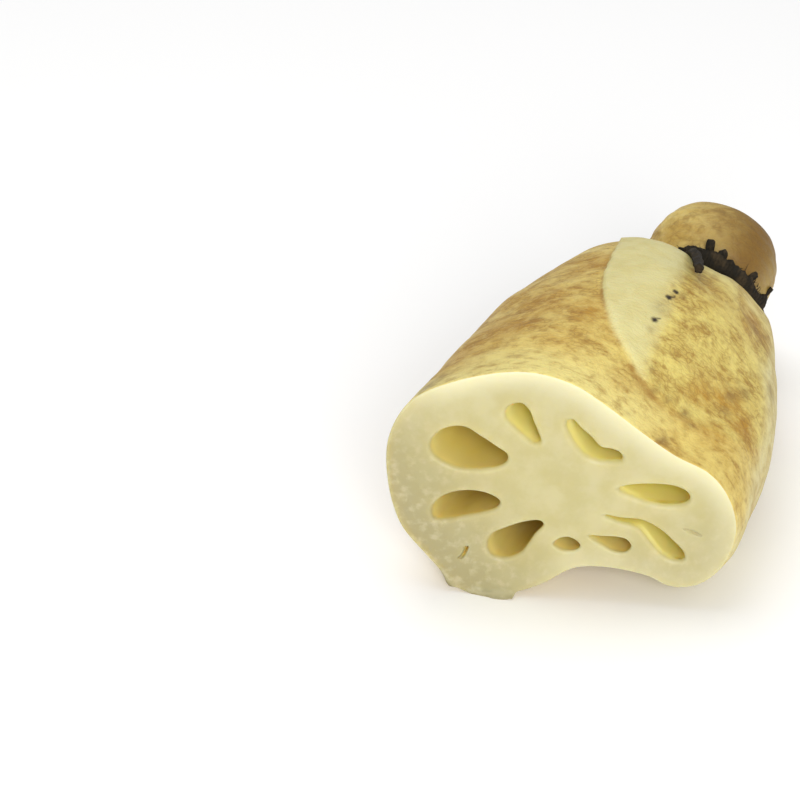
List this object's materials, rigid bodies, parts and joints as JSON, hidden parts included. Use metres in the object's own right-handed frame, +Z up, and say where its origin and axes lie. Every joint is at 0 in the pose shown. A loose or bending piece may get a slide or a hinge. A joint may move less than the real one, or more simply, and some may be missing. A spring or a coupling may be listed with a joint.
{
  "type": "lotus root segment",
  "caption": "Half of a lotus root segment, cut across to show its air channels, with the node, dark root stubs and the start of the next segment at its far end.",
  "frame": {"origin": "middle of the part's box, on the surface it lies on", "axes": "+Y from the cut face towards the node, +Z up, the cut face looking along -Y"},
  "size_m": [0.0848, 0.1248, 0.0576],
  "materials": {
    "root": "cream to tan skin with brown cross streaks, pale moist flesh on the cut",
    "sheath": "dry black fibrous sheath and root stubs, matte"
  },
  "bodies": {
    "root": {"lotus_root": "root", "root_collar": "sheath"}
  },
  "joints": []
}
